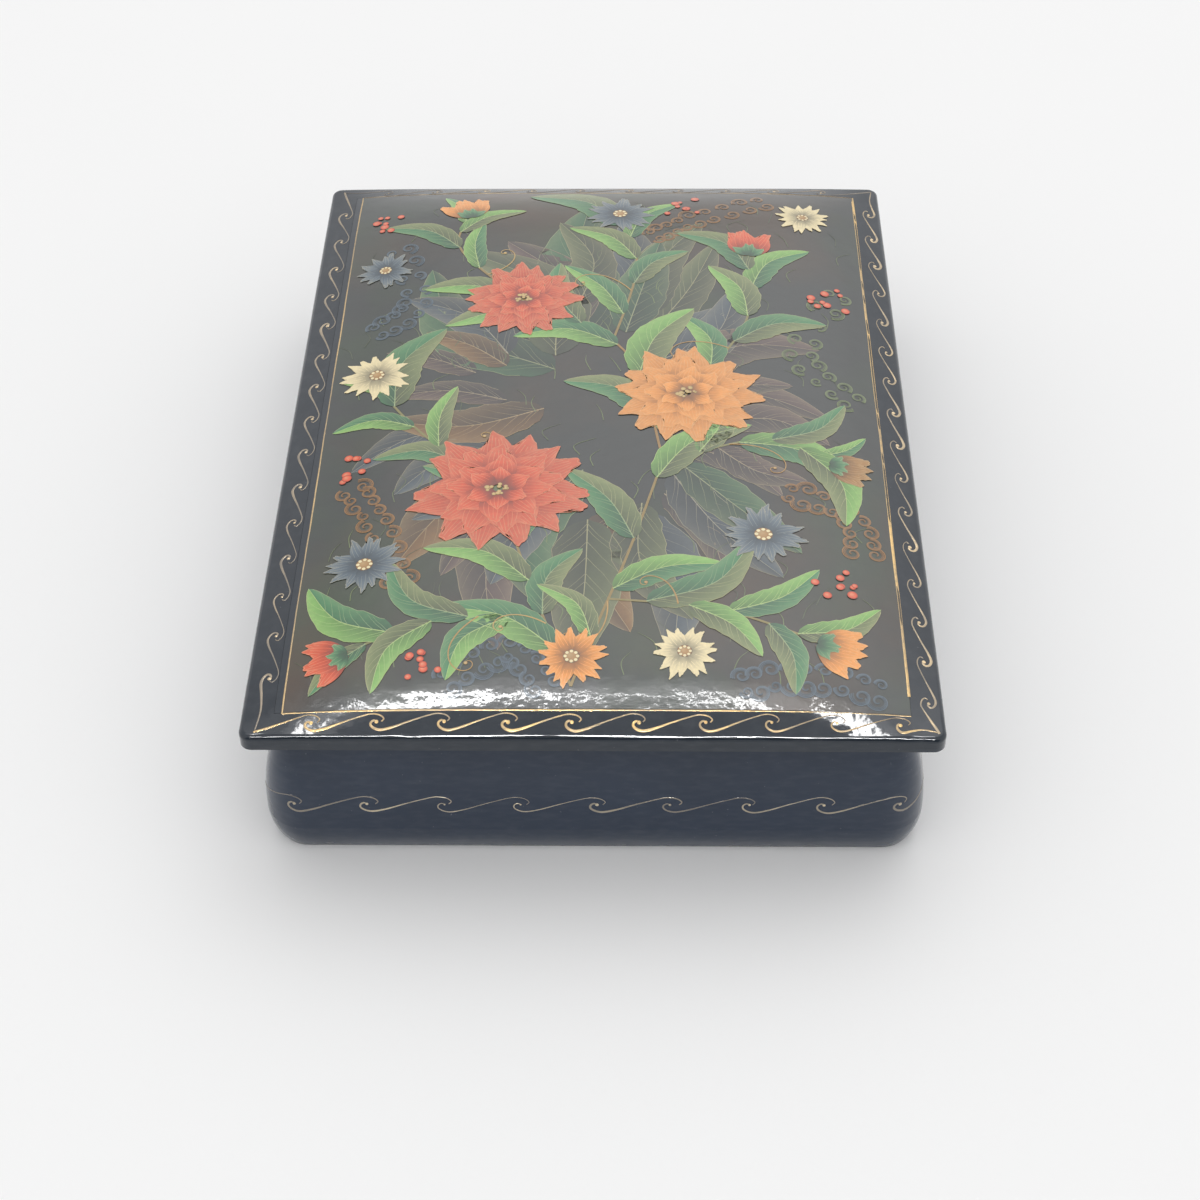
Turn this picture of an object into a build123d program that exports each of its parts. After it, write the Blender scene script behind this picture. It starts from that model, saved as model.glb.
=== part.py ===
"""Lacquer box with a bulging wall and a pillow-shaped hinged lid, in millimetres.

X runs across the box, Y from the front to the hinge at the back, Z up.
The origin is on the table under the middle of the lid.
"""
from build123d import *
from math import sqrt
import os

os.makedirs("parts", exist_ok=True)

# Wall: outside curve
bulge_width = 96.2
bulge_length = 132.7
bulge_height = 5.3
body_height = 22.4
upper_radius = 44.0
lower_radius = 11.0
wall_corner = 6.0

# Wall: inside
brim_thickness = 4.35
inner_corner = 2.0

# Bottom board and its rebate
base_thickness = 2.6
rebate_step = 2.5
board_corner = 2.5
glue_gap = 0.1

# Inner sleeve that stands proud of the wall
sleeve_thickness = 1.6
sleeve_lip = 2.0
sleeve_corner = 2.6
lip_bevel = 0.4

# Lid
lid_overhang = 1.15
lid_corner = 1.8
lid_gap = 0.2
rim_thickness = 3.4
rim_top_round = 0.8
rim_bottom_bevel = 0.9
crown_rise = 4.4
crown_power_across = 4
crown_power_along = 8
crown_reach = 1.02
hollow_clearance = 0.4
hollow_depth = 2.5
hollow_corner = 2.6

# Picture sheet, let into the lid top
sheet_thickness = 0.25
sheet_side_border = 4.85
sheet_end_border = 4.1
sheet_fit = 0.05

# Hinge
knuckle_radius = 2.0
knuckle_length = 12.0
knuckle_gap = 0.3
hinge_clearance = 0.3
pin_radius = 0.7
pin_fixed_clearance = 0.02
pin_running_clearance = 0.05
plug_length = 1.5
notch_wall = 3.4

# Sizes that follow from the ones above
brim_inset = upper_radius - sqrt(upper_radius**2 - (body_height - bulge_height) ** 2)
foot_inset = lower_radius - sqrt(lower_radius**2 - bulge_height**2)
inner_width = bulge_width - 2 * (brim_inset + brim_thickness)
inner_length = bulge_length - 2 * (brim_inset + brim_thickness)
lid_width = bulge_width + 2 * lid_overhang
lid_length = bulge_length + 2 * lid_overhang
lid_seat = body_height + lid_gap
rim_top = lid_seat + rim_thickness
notch_face = inner_length / 2 + notch_wall
hinge_y = notch_face + hinge_clearance + knuckle_radius
hinge_z = body_height - knuckle_radius - hinge_clearance
notch_floor = hinge_z - knuckle_radius - hinge_clearance
knuckle_pitch = knuckle_length + knuckle_gap
hinge_length = 4 * knuckle_pitch + knuckle_length
pin_length = hinge_length - 2 * plug_length


def half_wall(reach):
    """Draws half of the bulging section, from the middle out to its widest point."""
    foot = (reach - foot_inset, 0)
    widest = (reach, bulge_height)
    brim = (reach - brim_inset, body_height)
    Polyline(brim, (0, body_height), (0, 0), foot)
    TangentArc(widest, foot, tangent=(0, -1))
    TangentArc(widest, brim, tangent=(0, 1))


def crown_face(drop):
    """Pillow surface of the lid top, a little larger than the lid.

    Its rise is (1 - x**m) * (1 - y**n), with x and y going from -1 to 1 across and along
    the lid: flat in the middle and falling faster towards the rim. As one Bezier patch this
    needs only control heights that swing to either side of 1.
    """
    m = crown_power_across
    n = crown_power_along
    rows = []
    for i in range(m + 1):
        x = crown_reach * (2 * i / m - 1)
        swing_across = 1 - (-1) ** i * crown_reach**m
        row = []
        for j in range(n + 1):
            y = crown_reach * (2 * j / n - 1)
            swing_along = 1 - (-1) ** j * crown_reach**n
            height = rim_top - drop + crown_rise * swing_across * swing_along
            row.append((x * lid_width / 2, y * lid_length / 2, height))
        rows.append(row)
    return Face.make_bezier_surface(rows)


lid_crown = crown_face(0)
sheet_floor = crown_face(sheet_thickness)
recess_floor = crown_face(sheet_thickness + sheet_fit)

# Wound wall: two bulging bars crossed, with a turned post in each corner, then hollowed
with BuildPart() as wall_shell:
    with BuildSketch(Plane.XZ):
        with BuildLine():
            half_wall(bulge_width / 2)
        make_face()
        mirror(about=Plane.YZ)
    extrude(amount=bulge_length / 2 - wall_corner, both=True)
    with BuildSketch(Plane.YZ):
        with BuildLine():
            half_wall(bulge_length / 2)
        make_face()
        mirror(about=Plane.YZ)
    extrude(amount=bulge_width / 2 - wall_corner, both=True)
    with BuildSketch(Plane.XZ) as post_profile:
        with BuildLine():
            half_wall(wall_corner)
        make_face()
    post = revolve(post_profile.sketch, axis=Axis.Z, mode=Mode.PRIVATE)
    with GridLocations(bulge_width - 2 * wall_corner, bulge_length - 2 * wall_corner, 2, 2):
        add(post)
    with BuildSketch():
        RectangleRounded(inner_width, inner_length, inner_corner)
    extrude(amount=body_height, mode=Mode.SUBTRACT)
    with BuildSketch():
        RectangleRounded(
            inner_width + 2 * rebate_step, inner_length + 2 * rebate_step, board_corner
        )
    extrude(amount=base_thickness, mode=Mode.SUBTRACT)
    # Hinge notch along the back
    with BuildSketch(Plane.XY.offset(notch_floor)):
        with Locations((0, notch_face)):
            Rectangle(
                hinge_length + 2 * glue_gap,
                bulge_length / 2 - notch_face,
                align=(Align.CENTER, Align.MIN),
            )
    extrude(amount=body_height - notch_floor, mode=Mode.SUBTRACT)
wall_shell.part.label = "wall_shell"

# Bottom board, flush with the foot of the wall
with BuildPart() as base_board:
    with BuildSketch():
        RectangleRounded(
            inner_width + 2 * (rebate_step - glue_gap),
            inner_length + 2 * (rebate_step - glue_gap),
            board_corner,
        )
    extrude(amount=base_thickness)
base_board.part.label = "base_board"

# Sleeve: stands on the bottom board, its lip goes up into the hollow of the lid
with BuildPart() as inner_sleeve:
    with BuildSketch(Plane.XY.offset(base_thickness)):
        RectangleRounded(inner_width, inner_length, sleeve_corner)
        offset(amount=-sleeve_thickness, kind=Kind.INTERSECTION, mode=Mode.SUBTRACT)
    extrude(amount=body_height + sleeve_lip - base_thickness)
    chamfer(inner_sleeve.faces().sort_by(Axis.Z)[-1].edges(), lip_bevel)
inner_sleeve.part.label = "inner_sleeve"

# Room for the picture sheet, cut out of the lid top
with BuildPart() as sheet_recess:
    with BuildSketch(Plane.XY.offset(lid_seat)):
        Rectangle(
            lid_width - 2 * (sheet_side_border - sheet_fit),
            lid_length - 2 * (sheet_end_border - sheet_fit),
        )
    extrude(amount=rim_thickness + 2 * crown_rise)
    split(bisect_by=recess_floor, keep=Keep.TOP)

# Lid plate
with BuildPart() as lid_plate:
    with BuildSketch(Plane.XY.offset(lid_seat)):
        RectangleRounded(lid_width, lid_length, lid_corner)
    extrude(amount=rim_thickness + 2 * crown_rise)
    split(bisect_by=lid_crown, keep=Keep.BOTTOM)
    fillet(lid_plate.faces().sort_by(Axis.Z)[-1].edges(), rim_top_round)
    chamfer(lid_plate.faces().sort_by(Axis.Z)[0].edges(), rim_bottom_bevel)
    with BuildSketch(Plane.XY.offset(lid_seat)):
        RectangleRounded(
            inner_width + 2 * hollow_clearance,
            inner_length + 2 * hollow_clearance,
            hollow_corner,
        )
    extrude(amount=hollow_depth, mode=Mode.SUBTRACT)
    add(sheet_recess.part, mode=Mode.SUBTRACT)
lid_plate.part.label = "lid_plate"

# Picture sheet, curved like the lid
with BuildPart() as picture_sheet:
    with BuildSketch(Plane.XY.offset(lid_seat)):
        Rectangle(lid_width - 2 * sheet_side_border, lid_length - 2 * sheet_end_border)
    extrude(amount=rim_thickness + 2 * crown_rise)
    split(bisect_by=lid_crown, keep=Keep.BOTTOM)
    split(bisect_by=sheet_floor, keep=Keep.TOP)
picture_sheet.part.label = "picture_sheet"

# Knuckles of the wall: a block in the notch with a half-round back
body_knuckles = {}
for name, place in (("left", -2), ("middle", 0), ("right", 2)):
    with BuildPart() as body_knuckle:
        start = place * knuckle_pitch - knuckle_length / 2
        with BuildSketch(Plane.YZ.offset(start)):
            with Locations((hinge_y, hinge_z)):
                Circle(knuckle_radius)
            with Locations((notch_face, notch_floor)):
                Rectangle(
                    hinge_y - notch_face,
                    hinge_z + knuckle_radius - notch_floor,
                    align=(Align.MIN, Align.MIN),
                )
            with Locations((hinge_y, hinge_z)):
                Circle(pin_radius + pin_fixed_clearance, mode=Mode.SUBTRACT)
        extrude(amount=knuckle_length)
    body_knuckle.part.label = "body_knuckle_" + name
    body_knuckles[name] = body_knuckle.part

# Knuckles of the lid: a barrel with a neck up to the lid
lid_knuckles = {}
for name, place in (("left", -1), ("right", 1)):
    with BuildPart() as lid_knuckle:
        start = place * knuckle_pitch - knuckle_length / 2
        with BuildSketch(Plane.YZ.offset(start)):
            with Locations((hinge_y, hinge_z)):
                Circle(knuckle_radius)
                Rectangle(
                    2 * knuckle_radius, lid_seat - hinge_z, align=(Align.CENTER, Align.MIN)
                )
                Circle(pin_radius + pin_running_clearance, mode=Mode.SUBTRACT)
        extrude(amount=knuckle_length)
    lid_knuckle.part.label = "lid_knuckle_" + name
    lid_knuckles[name] = lid_knuckle.part

# Hinge wire
with BuildPart() as hinge_pin:
    with BuildSketch(Plane.YZ.offset(-pin_length / 2)):
        with Locations((hinge_y, hinge_z)):
            Circle(pin_radius)
    extrude(amount=pin_length)
hinge_pin.part.label = "hinge_pin"

# Plugs that close the two ends of the bore
pin_plugs = {}
for name, start in (("left", -hinge_length / 2), ("right", pin_length / 2)):
    with BuildPart() as pin_plug:
        with BuildSketch(Plane.YZ.offset(start)):
            with Locations((hinge_y, hinge_z)):
                Circle(pin_radius)
        extrude(amount=plug_length)
    pin_plug.part.label = "pin_plug_" + name
    pin_plugs[name] = pin_plug.part

export_step(wall_shell.part, "parts/wall_shell.step")
export_step(base_board.part, "parts/base_board.step")
export_step(inner_sleeve.part, "parts/inner_sleeve.step")
export_step(lid_plate.part, "parts/lid_plate.step")
export_step(picture_sheet.part, "parts/picture_sheet.step")
export_step(hinge_pin.part, "parts/hinge_pin.step")
for name, knuckle in body_knuckles.items():
    export_step(knuckle, "parts/body_knuckle_" + name + ".step")
for name, knuckle in lid_knuckles.items():
    export_step(knuckle, "parts/lid_knuckle_" + name + ".step")
for name, plug in pin_plugs.items():
    export_step(plug, "parts/pin_plug_" + name + ".step")
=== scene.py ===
import math
import random

import bpy
from bpy.props import FloatProperty, FloatVectorProperty, IntProperty, PointerProperty
from bpy.types import Operator, Panel, PropertyGroup
from mathutils import Matrix, Vector
from mathutils.bvhtree import BVHTree
from mathutils.interpolate import poly_3d_calc


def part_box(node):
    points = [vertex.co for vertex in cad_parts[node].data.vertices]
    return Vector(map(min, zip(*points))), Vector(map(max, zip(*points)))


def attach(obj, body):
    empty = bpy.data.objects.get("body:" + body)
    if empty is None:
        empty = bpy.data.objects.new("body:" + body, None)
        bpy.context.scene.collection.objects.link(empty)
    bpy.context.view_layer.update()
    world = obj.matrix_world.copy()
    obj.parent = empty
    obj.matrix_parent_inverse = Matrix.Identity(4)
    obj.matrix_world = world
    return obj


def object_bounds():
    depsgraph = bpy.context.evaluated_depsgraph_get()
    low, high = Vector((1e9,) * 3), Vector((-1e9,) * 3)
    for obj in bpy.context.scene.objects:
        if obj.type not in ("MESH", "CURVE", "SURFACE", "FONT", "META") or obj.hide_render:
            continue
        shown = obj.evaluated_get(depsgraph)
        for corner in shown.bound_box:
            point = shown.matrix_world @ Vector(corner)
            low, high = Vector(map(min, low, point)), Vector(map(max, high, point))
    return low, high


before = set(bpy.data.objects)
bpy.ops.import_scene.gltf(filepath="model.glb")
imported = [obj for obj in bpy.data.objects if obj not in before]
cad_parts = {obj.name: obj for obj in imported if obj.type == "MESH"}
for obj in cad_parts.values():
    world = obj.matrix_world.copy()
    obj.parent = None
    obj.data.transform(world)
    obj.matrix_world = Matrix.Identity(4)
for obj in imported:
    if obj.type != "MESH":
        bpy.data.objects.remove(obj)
cad_box = [list(corner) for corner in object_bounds()]

bl_info = {
    "name": "Lacquer Box",
    "version": (1, 0, 0),
    "blender": (4, 5, 0),
    "location": "3D View > Sidebar > Lacquer Box",
    "description": "Finishes a papier-mache lacquer box with gold waves and a painted lid",
    "category": "Object",
}

MM = 0.001
# Room over the lid, for its paint and for the rays that lay it on
LID_ROOM = 10 * MM
BLACK = (0, 0, 0)
WHITE = (1, 1, 1)

# Camera, fitted to the lid's outline: place in millimetres, angles in degrees
CAMERA_PLACE = (6.80, -278.73, 257.01)
CAMERA_PITCH = 44.03
CAMERA_YAW = -1.444
CAMERA_ROLL = 0.864
CAMERA_LENS = 67.79
CAMERA_SENSOR = 36.0


def linear(hex_colour):
    """An sRGB hex colour such as "#f0b64e" as linear red, green and blue."""
    channels = [int(hex_colour[i:i + 2], 16) / 255 for i in (1, 3, 5)]
    return tuple(c / 12.92 if c <= 0.04045 else ((c + 0.055) / 1.055) ** 2.4 for c in channels)


def mix(first, second, share):
    """The colour that lies at share of the way from first to second."""
    return tuple(a + (b - a) * share for a, b in zip(first, second))


def colour(name, hex_colour, description):
    """A colour property with an sRGB hex default."""
    return FloatVectorProperty(
        name=name, description=description, subtype="COLOR", size=3,
        min=0, max=1, default=linear(hex_colour),
    )


def length(name, millimetres, description):
    """A length property with its default in millimetres."""
    return FloatProperty(
        name=name, description=description, unit="LENGTH", min=0, precision=5,
        default=millimetres * MM,
    )


def side_lengths(name, millimetres, description):
    """Four lengths, for the front, right, back and left side, with their defaults in millimetres."""
    return FloatVectorProperty(
        name=name, description=description, unit="LENGTH", size=4, min=0, precision=5,
        default=[m * MM for m in millimetres],
    )


class LacquerBoxColours(PropertyGroup):
    """Colours of the lacquers, the gold and the picture's pigments."""

    # The wall's black is bluer than the lid's partly as a painted reflection of bluish surroundings,
    # partly as the lacquer's own tone
    wall_black: colour("Wall black", "#08233d", "Outside of the wall, a blue black")
    lid_black: colour("Lid black", "#0b1c2b", "Outside of the lid, a more neutral black")
    red: colour("Red lacquer", "#8e1d18", "Inside of the box and of the lid")
    dust: colour("Dust", "#cbced3", "Dust and rubbing marks under the top coat")
    # The golds are paled towards cream in part as painted sheen, the white glare of lit gold; the rest
    # is the powder's own pale tone
    lid_gold: colour("Lid gold", "#e6c283", "Front waves and frame line on the lid")
    pale_gold: colour("Pale gold", "#e8cfa6", "Waves on the other sides of the lid")
    wall_gold: colour("Wall gold", "#dccdb0", "Thinner gold waves round the wall")
    thin_gold: colour("Thin gold", "#7b7671", "Gold where the brush ran dry")
    steel: colour("Steel wire", "#a9acb0", "Hinge pin")
    ground: colour("Picture ground", "#383b3b", "Ground of the picture, hazy with old varnish")
    warm_glaze: colour("Warm glaze", "#574333", "Brown glaze over the ground")
    green_glaze: colour("Green glaze", "#3d4c38", "Green glaze over the ground")
    mint: colour("Mint", "#86ba62", "Lighter leaves")
    emerald: colour("Emerald", "#4c8a5c", "Darker leaves")
    coral: colour("Coral", "#e2512a", "Red flowers and berries")
    orange: colour("Orange", "#f59c42", "Orange flowers")
    clay: colour("Clay", "#a9783f", "Brown flowers and stems")
    olive: colour("Olive", "#7c8a5c", "Grass and far leaves")
    mauve: colour("Mauve", "#7a5f5c", "Far leaves")
    slate: colour("Slate", "#5f7180", "Blue flowers")
    cream: colour("Cream", "#f4e3b4", "Highlights")
    line_gold: colour("Line gold", "#c9a867", "Outlines and tendrils in the picture")
    floor: colour("Table", "#f4f4f4", "Pale table top")


class LacquerBoxSizes(PropertyGroup):
    """Sizes of the painted ornament."""

    lid_pitch: side_lengths("Lid wave pitch", (8.96, 7.8, 8.7, 8.27), "Length of one wave on the lid")
    wall_pitch: length("Wall wave pitch", 10.9, "Length of one wave on the wall")
    lid_band_low: side_lengths(
        "Lid band outside", (1.1, 1.1, 1.5, 2.2), "From the lid's edge to the foot of the waves"
    )
    lid_band_high: side_lengths(
        "Lid band inside", (3.5, 3.3, 3.9, 4.6), "From the lid's edge to the crests"
    )
    wall_band_low: length("Wall band foot", 9.0, "Height of the foot of the waves on the wall")
    wall_band_high: length("Wall band crest", 12.0, "Height of the crests on the wall")
    wall_corner: length("Wall corner", 6.0, "Radius of the wall's corners, seen from above")
    stroke_width: length("Stroke width", 0.42, "Width of a gold wave where the brush is full")
    stroke_relief: length("Stroke relief", 0.07, "Height of a full gold stroke")
    frame_inset: side_lengths(
        "Frame line place", (3.95, 4.85, 4.1, 5.95), "From the lid's edge to the frame line"
    )
    frame_width: side_lengths(
        "Frame line width", (0.25, 0.4, 0.25, 0.21), "Width of the gold line round the picture"
    )
    frame_stop: length("Frame line stop", 3.4, "Where the right line stops short of the front one")
    paint_layer: length("Paint layer", 0.004, "Thickness of one layer of picture paint")
    seed: IntProperty(name="Hand", description="Changes the hand-painted irregularity", default=7)


def colours():
    """The colours that the sidebar shows."""
    return bpy.context.scene.lacquer_box_colours


def sizes():
    """The sizes that the sidebar shows."""
    return bpy.context.scene.lacquer_box_sizes


# Materials

# Size and depth of the waves in each coat, in millimetres
WALL_UNEVENNESS = ((11.0, 0.08), (0.9, 0.006))
LID_UNEVENNESS = ((11.0, 0.08), (1.6, 0.02))
INSIDE_UNEVENNESS = ((11.0, 0.08), (0.9, 0.008))
SHEET_UNEVENNESS = ((11.0, 0.08), (2.6, 0.07), (0.6, 0.014))
# Gloss of the lacquer and of the varnish
COAT_ROUGHNESS = 0.05
COAT_IOR = 1.5


def add_node(tree, kind, inputs=None, **settings):
    """Adds a node with its settings; an output socket among its inputs is linked."""
    node = tree.nodes.new(kind)
    for name, value in settings.items():
        setattr(node, name, value)
    for name, value in (inputs or {}).items():
        if isinstance(value, bpy.types.NodeSocket):
            tree.links.new(value, node.inputs[name])
        else:
            node.inputs[name].default_value = value
    return node


def new_material(name):
    """An empty node material, its tree and the socket with the place on the piece, in metres."""
    material = bpy.data.materials.new(name)
    material.use_nodes = True
    tree = material.node_tree
    tree.nodes.clear()
    return material, tree, add_node(tree, "ShaderNodeTexCoord").outputs["Object"]


def finish_material(tree, shader):
    """Links the shader to the material's output."""
    add_node(tree, "ShaderNodeOutputMaterial", {"Surface": shader.outputs[0]})


def per_metre(millimetres):
    """Noise scale for features of this size."""
    return 1 / (millimetres * MM)


def patches(tree, place, size, detail, span=(0.0, 1.0), result=(0.0, 1.0), roughness=0.5):
    """Socket that follows soft patches of this size in millimetres.

    It goes from the first number of result to the second while the patches go through span.
    """
    cloud = add_node(tree, "ShaderNodeTexNoise", {
        "Vector": place, "Scale": per_metre(size), "Detail": detail, "Roughness": roughness,
    })
    return add_node(tree, "ShaderNodeMapRange", {
        "Value": cloud.outputs["Fac"], "From Min": span[0], "From Max": span[1],
        "To Min": result[0], "To Max": result[1],
    }).outputs["Result"]


def uneven_normal(tree, place, unevenness):
    """Normal of a hand-brushed coat, from the size and depth of each of its waves in millimetres."""
    normal = None
    for size, depth in unevenness:
        height = add_node(tree, "ShaderNodeTexNoise", {
            "Vector": place, "Scale": per_metre(size), "Detail": 1.5,
        })
        bump = {"Height": height.outputs["Fac"], "Strength": 1.0, "Distance": depth * MM}
        if normal:
            bump["Normal"] = normal
        normal = add_node(tree, "ShaderNodeBump", bump).outputs["Normal"]
    return normal


def inside_box(tree, place, low, high):
    """1 where place lies between the two corners, else 0."""
    parts = add_node(tree, "ShaderNodeSeparateXYZ", {"Vector": place}).outputs
    inside = None
    for axis, name in enumerate("XYZ"):
        for operation, limit in (("GREATER_THAN", low[axis]), ("LESS_THAN", high[axis])):
            test = add_node(tree, "ShaderNodeMath", {0: parts[name], 1: limit}, operation=operation)
            if inside:
                both = {0: inside, 1: test.outputs[0]}
                test = add_node(tree, "ShaderNodeMath", both, operation="MULTIPLY")
            inside = test.outputs[0]
    return inside


# Marks in the lacquer: size in millimetres, span of the patches, share of the dust's colour
RUBBING_MARKS = (0.8, (0.45, 0.75), 0.018)
DUST_SPECKS = (0.55, (0.72, 0.78), 0.12)
# Scale of the rubbing marks by axis, which makes them longer along the table than upwards
RUBBING_SCALE = (0.3, 0.3, 1.0)
# Depth of the coat: size of its clouds in millimetres, shares of black and white in them
COAT_CLOUD = 14.0
COAT_DARKER = 0.3
COAT_LIGHTER = 0.005
# Handling dulls the colour coat in patches of this size
HANDLED = 5.0
HANDLED_ROUGHNESS = (0.25, 0.55)


def lacquer(name, body_colour, unevenness, lining=None):
    """Oil lacquer over papier-mache, brushed on in many coats and rubbed down.

    The eye sees a deep colour under a slightly wavy gloss, with faint rubbing marks and specks of
    dust below it. lining is (colour, low corner, high corner): the part of the piece that has the
    other lacquer.
    """
    material, tree, place = new_material(name)
    coat = add_node(tree, "ShaderNodeMix", {
        0: patches(tree, place, COAT_CLOUD, 3.0),
        6: (*mix(body_colour, BLACK, COAT_DARKER), 1),
        7: (*mix(body_colour, WHITE, COAT_LIGHTER), 1),
    }, data_type="RGBA").outputs[2]
    rubbed = add_node(tree, "ShaderNodeMapping", {"Vector": place, "Scale": RUBBING_SCALE})
    marks = ((rubbed.outputs["Vector"], RUBBING_MARKS), (place, DUST_SPECKS))
    for spread, (size, span, share) in marks:
        coat = add_node(tree, "ShaderNodeMix", {
            0: patches(tree, spread, size, 3.0, span, (0.0, share)), 6: coat, 7: (*colours().dust, 1),
        }, data_type="RGBA").outputs[2]
    if lining:
        lining_colour, low, high = lining
        coat = add_node(tree, "ShaderNodeMix", {
            0: inside_box(tree, place, low, high), 6: coat, 7: (*lining_colour, 1),
        }, data_type="RGBA").outputs[2]
    normal = uneven_normal(tree, place, unevenness)
    finish_material(tree, add_node(tree, "ShaderNodeBsdfPrincipled", {
        "Base Color": coat,
        "Roughness": patches(tree, place, HANDLED, 4.0, result=HANDLED_ROUGHNESS),
        "Specular IOR Level": 0.1,
        "Coat Weight": 1.0,
        "Coat Roughness": COAT_ROUGHNESS,
        "Coat IOR": COAT_IOR,
        "Normal": normal,
        "Coat Normal": normal,
    }))
    return material


# Worn places in the gold: size in millimetres, span of the patches, share of thin gold
GOLD_WEAR = (0.7, (0.45, 0.75), 0.5)
# Size and depth of the powder's grain in millimetres, drawn as coarse as it needs to show
POWDER_SIZE = 0.16
POWDER_DEPTH = 0.012


def gold_paint(name):
    """Bronze-powder gold, laid on in raised strokes and left unvarnished.

    Bright and warm where the brush was full, grey brown where it ran dry, with the grain of the powder.
    """
    material, tree, place = new_material(name)
    size, span, share = GOLD_WEAR
    tint = add_node(tree, "ShaderNodeMix", {
        0: patches(tree, place, size, 3.0, span, (0.0, share)),
        6: painted_pigment(tree, place),
        7: (*colours().thin_gold, 1),
    }, data_type="RGBA")
    powder = add_node(tree, "ShaderNodeTexNoise", {
        "Vector": place, "Scale": per_metre(POWDER_SIZE), "Detail": 2.0,
    })
    grain = add_node(tree, "ShaderNodeBump", {
        "Height": powder.outputs["Fac"], "Strength": 0.6, "Distance": POWDER_DEPTH * MM,
    })
    finish_material(tree, add_node(tree, "ShaderNodeBsdfPrincipled", {
        "Base Color": tint.outputs[2],
        "Metallic": 0.45,
        "Roughness": 0.37,
        "Normal": grain.outputs["Normal"],
    }))
    return material


# Brush marks in the tempera: size in millimetres, span of the patches, share of the ground
TEMPERA_MOTTLE = (0.9, (0.35, 0.65), 0.15)


def varnished_tempera(name, pigment_of):
    """Egg tempera under clear varnish: soft, slightly mottled pigment below a wrinkled gloss.

    pigment_of(tree, place) gives the socket with the paint's colour.
    """
    material, tree, place = new_material(name)
    size, span, share = TEMPERA_MOTTLE
    paint = add_node(tree, "ShaderNodeMix", {
        0: patches(tree, place, size, 4.0, span, (0.0, share), roughness=0.65),
        6: pigment_of(tree, place),
        7: (*colours().ground, 1),
    }, data_type="RGBA")
    finish_material(tree, add_node(tree, "ShaderNodeBsdfPrincipled", {
        "Base Color": paint.outputs[2],
        "Roughness": 0.35,
        "Specular IOR Level": 0.2,
        "Coat Weight": 1.0,
        "Coat Roughness": COAT_ROUGHNESS,
        "Coat IOR": COAT_IOR,
        "Coat Normal": uneven_normal(tree, place, SHEET_UNEVENNESS),
    }))
    return material


def painted_pigment(tree, place):
    """The colour that each stroke carries."""
    return add_node(tree, "ShaderNodeVertexColor", layer_name="pigment").outputs["Color"]


# Glazes over the ground, with the size of their clouds in millimetres
GLAZES = (("warm_glaze", 34.0), ("green_glaze", 22.0))
GLAZE_SPAN = (0.47, 0.77)
GLAZE_SHARE = 0.9


def ground_pigment(tree, place):
    """Dark ground with clouds of thin brown and green glaze; lacquer outside the frame line."""
    palette = colours()
    ground = (*palette.ground, 1)
    for glaze, size in GLAZES:
        ground = add_node(tree, "ShaderNodeMix", {
            0: patches(tree, place, size, 4.0, GLAZE_SPAN, (0.0, GLAZE_SHARE)),
            6: ground,
            7: (*getattr(palette, glaze), 1),
        }, data_type="RGBA").outputs[2]
    front, right, back, left = sizes().frame_inset
    low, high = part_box("lid_plate")
    framed = inside_box(
        tree, place, low + Vector((left, front, 0)), high + Vector((-right, -back, LID_ROOM))
    )
    return add_node(tree, "ShaderNodeMix", {
        0: framed, 6: (*palette.lid_black, 1), 7: ground,
    }, data_type="RGBA").outputs[2]


# Width of the wire's lines in millimetres, as coarse as it needs to show, and their scale by axis
DRAWN_LINES = 0.12
DRAWN_SCALE = (0.02, 1, 1)
DRAWN_ROUGHNESS = (0.15, 0.55)


def drawn_steel(name):
    """Drawn steel wire: grey metal with fine lines along its length."""
    material, tree, place = new_material(name)
    along = add_node(tree, "ShaderNodeMapping", {"Vector": place, "Scale": DRAWN_SCALE})
    finish_material(tree, add_node(tree, "ShaderNodeBsdfPrincipled", {
        "Base Color": (*colours().steel, 1),
        "Metallic": 1.0,
        "Roughness": patches(tree, along.outputs["Vector"], DRAWN_LINES, 2.0, result=DRAWN_ROUGHNESS),
    }))
    return material


# Size of the clouds in the table's white in millimetres, and the share of pure white in them
BOARD_CLOUD = 60.0
BOARD_LIGHTER = 0.12
# How far from the box the table fades to white, in metres
FADE_START = 0.4
FADE_END = 1.6


def white_board(name):
    """Matt painted board, faintly uneven, that the camera and the gloss see fade to white far away."""
    material, tree, place = new_material(name)
    floor = colours().floor
    tone = add_node(tree, "ShaderNodeMix", {
        0: patches(tree, place, BOARD_CLOUD, 3.0),
        6: (*floor, 1),
        7: (*mix(floor, WHITE, BOARD_LIGHTER), 1),
    }, data_type="RGBA")
    shader = add_node(tree, "ShaderNodeBsdfPrincipled", {
        "Base Color": tone.outputs[2],
        "Roughness": 0.55,
        "Specular IOR Level": 0.25,
    })
    away = add_node(tree, "ShaderNodeVectorMath", {0: place}, operation="LENGTH")
    share = add_node(tree, "ShaderNodeMapRange", {
        "Value": away.outputs["Value"], "From Min": FADE_START, "From Max": FADE_END,
    })
    path = add_node(tree, "ShaderNodeLightPath").outputs
    seen = path["Is Camera Ray"]
    for ray in ("Is Glossy Ray", "Is Transmission Ray"):
        seen = add_node(tree, "ShaderNodeMath", {0: seen, 1: path[ray]}, operation="MAXIMUM").outputs[0]
    fade = add_node(tree, "ShaderNodeMath", {0: share.outputs["Result"], 1: seen}, operation="MULTIPLY")
    far = add_node(tree, "ShaderNodeEmission", {"Color": (*WHITE, 1), "Strength": 1.0})
    finish_material(tree, add_node(tree, "ShaderNodeMixShader", {
        0: fade.outputs[0], 1: shader.outputs["BSDF"], 2: far.outputs["Emission"],
    }))
    return material


# Solids

PLAIN_BLACK = (
    "wall_shell", "body_knuckle_left", "body_knuckle_middle", "body_knuckle_right",
    "pin_plug_left", "pin_plug_right", "lid_knuckle_left", "lid_knuckle_right",
)
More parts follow.
